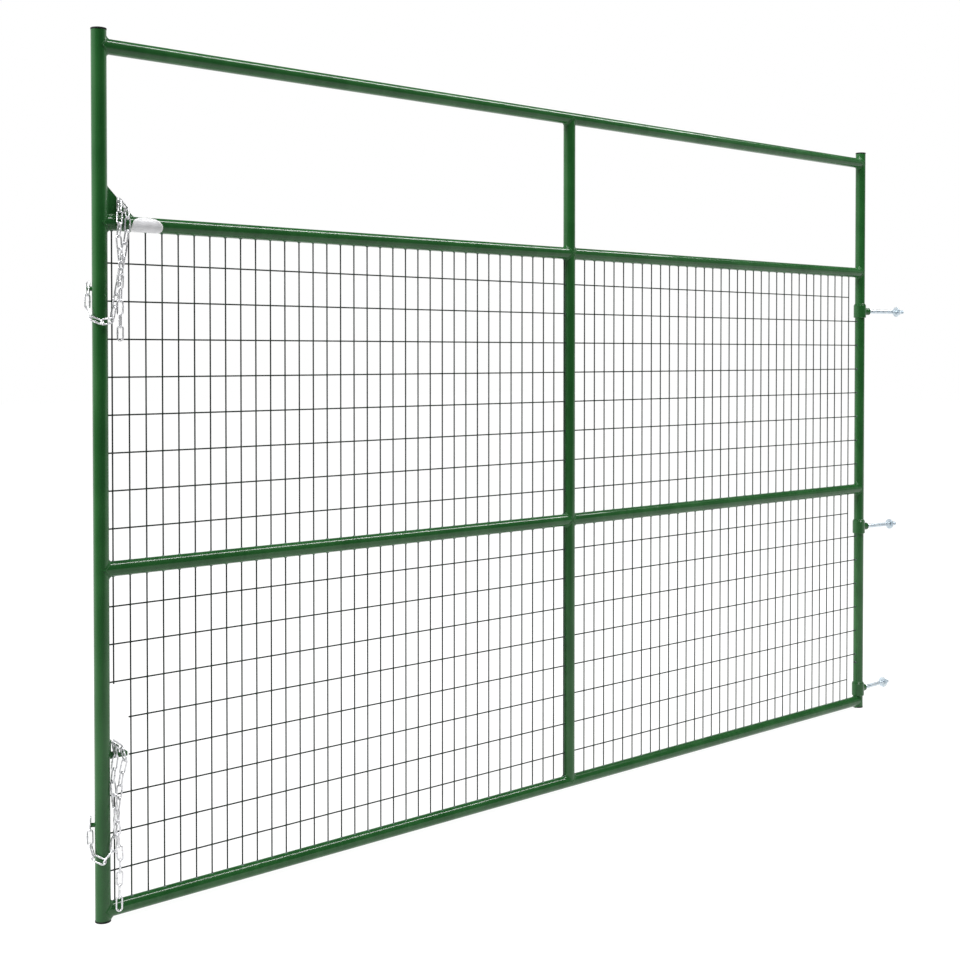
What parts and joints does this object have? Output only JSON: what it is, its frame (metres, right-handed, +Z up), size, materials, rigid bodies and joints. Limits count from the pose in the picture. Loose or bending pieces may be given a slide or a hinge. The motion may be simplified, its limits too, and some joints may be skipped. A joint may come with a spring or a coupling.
{
  "type": "deer gate",
  "caption": "Tall round-tube farm gate with an open top bay, two bays of welded wire mesh, three collar hinges with post bolts on one stile and two latch chains on the other.",
  "frame": {"origin": "on the lower hinge bolt's axis, where the bolt enters the post, 100 mm from the hinge stile's axis", "axes": "+X along the gate from the latch stile to the hinge bolts, +Z up, the pictured side faces -Y"},
  "size_m": [3.8444, 0.1175, 2.382],
  "materials": {
    "green_coat": "glossy green powder coat on steel tube and plate",
    "mesh_coat": "dark green coat on welded steel wire",
    "cap_rubber": "dark moulded end cap",
    "chain_zinc": "bright zinc plate on steel chain",
    "bolt_zinc": "bluish zinc plate on steel bolts, nuts and washers",
    "plate_metal": "pale satin plate, blank"
  },
  "bodies": {
    "lower_hinge": {"lower_hinge_collar": "green_coat", "lower_hinge_bolt": "bolt_zinc"},
    "middle_hinge": {"middle_hinge_collar": "green_coat", "middle_hinge_bolt": "bolt_zinc"},
    "upper_hinge": {"upper_hinge_collar": "green_coat", "upper_hinge_bolt": "bolt_zinc"},
    "lower_washer_set": {"lower_washer": "bolt_zinc"},
    "lower_nut_set": {"lower_nut": "bolt_zinc"},
    "middle_washer_set": {"middle_washer": "bolt_zinc"},
    "middle_nut_set": {"middle_nut": "bolt_zinc"},
    "upper_washer_set": {"upper_washer": "bolt_zinc"},
    "upper_nut_set": {"upper_nut": "bolt_zinc"},
    "upper_tail": {"upper_chain_tail": "chain_zinc"},
    "lower_tail": {"lower_chain_tail": "chain_zinc"},
    "leaf": {"bottom_rail": "green_coat", "hinge_foot_cap": "cap_rubber", "hinge_stile": "green_coat", "hinge_stops": "green_coat", "hinge_top_cap": "cap_rubber", "latch_foot_cap": "cap_rubber", "latch_gusset": "green_coat", "latch_stile": "green_coat", "latch_top_cap": "cap_rubber", "lower_chain": "chain_zinc", "lower_chain_stud": "green_coat", "lower_keeper": "green_coat", "lower_left_level_wires": "mesh_coat", "lower_left_upright_wires": "mesh_coat", "lower_right_level_wires": "mesh_coat", "lower_right_upright_wires": "mesh_coat", "lower_upright": "green_coat", "mesh_rail": "green_coat", "middle_rail": "green_coat", "name_plate": "plate_metal", "open_upright": "green_coat", "top_rail": "green_coat", "upper_chain": "chain_zinc", "upper_chain_stud": "green_coat", "upper_left_level_wires": "mesh_coat", "upper_left_upright_wires": "mesh_coat", "upper_right_level_wires": "mesh_coat", "upper_right_upright_wires": "mesh_coat", "upper_upright": "green_coat"}
  },
  "joints": [
    {"name": "leaf_swing", "type": "hinge", "parent": "lower_hinge", "child": "leaf", "pos_m": [-0.1, 0, 0], "axis": [0, 0, 1], "range_deg": [-100, 100]},
    {"name": "upper_tail_swing", "type": "hinge", "parent": "leaf", "child": "upper_tail", "pos_m": [-3.63376, -0.0323, 1.78496], "axis": [-1, 0, 0], "range_deg": [0, 75]},
    {"name": "lower_tail_swing", "type": "hinge", "parent": "leaf", "child": "lower_tail", "pos_m": [-3.65014, -0.0175, 0.32797], "axis": [-1, 0, 0], "range_deg": [0, 70]},
    {"name": "middle_hinge_swing", "type": "hinge", "parent": "leaf", "child": "middle_hinge", "pos_m": [-0.1, 0, 0.7], "axis": [0, 0, 1], "range_deg": [-91.3, 108.7]},
    {"name": "upper_hinge_swing", "type": "hinge", "parent": "leaf", "child": "upper_hinge", "pos_m": [-0.1, 0, 1.625], "axis": [0, 0, 1], "range_deg": [-81.2, 118.8]},
    {"name": "lower_washer_slide", "type": "slide", "parent": "lower_hinge", "child": "lower_washer_set", "axis": [1, 0, 0], "range_m": [-0.028, 0.0175]},
    {"name": "lower_nut_spin", "type": "hinge", "parent": "lower_washer_set", "child": "lower_nut_set", "pos_m": [0.103, 0, 0], "axis": [1, 0, 0], "range_deg": [-4320, 2700]},
    {"name": "middle_washer_slide", "type": "slide", "parent": "middle_hinge", "child": "middle_washer_set", "axis": [0.9885, -0.1513, 0], "range_m": [-0.028, 0.0175]},
    {"name": "middle_nut_spin", "type": "hinge", "parent": "middle_washer_set", "child": "middle_nut_set", "pos_m": [0.10066, -0.03071, 0.7], "axis": [0.9885, -0.1513, 0], "range_deg": [-4320, 2700]},
    {"name": "upper_washer_slide", "type": "slide", "parent": "upper_hinge", "child": "upper_washer_set", "axis": [0.9466, -0.3223, 0], "range_m": [-0.028, 0.0175]},
    {"name": "upper_nut_spin", "type": "hinge", "parent": "upper_washer_set", "child": "upper_nut_set", "pos_m": [0.09217, -0.06542, 1.625], "axis": [0.9466, -0.3223, 0], "range_deg": [-4320, 2700]}
  ],
  "couplings": [
    {"joint": "lower_washer_slide", "follows": "lower_nut_spin", "m_per_rad": 0.0003675},
    {"joint": "middle_washer_slide", "follows": "middle_nut_spin", "m_per_rad": 0.0003675},
    {"joint": "upper_washer_slide", "follows": "upper_nut_spin", "m_per_rad": 0.0003675}
  ]
}
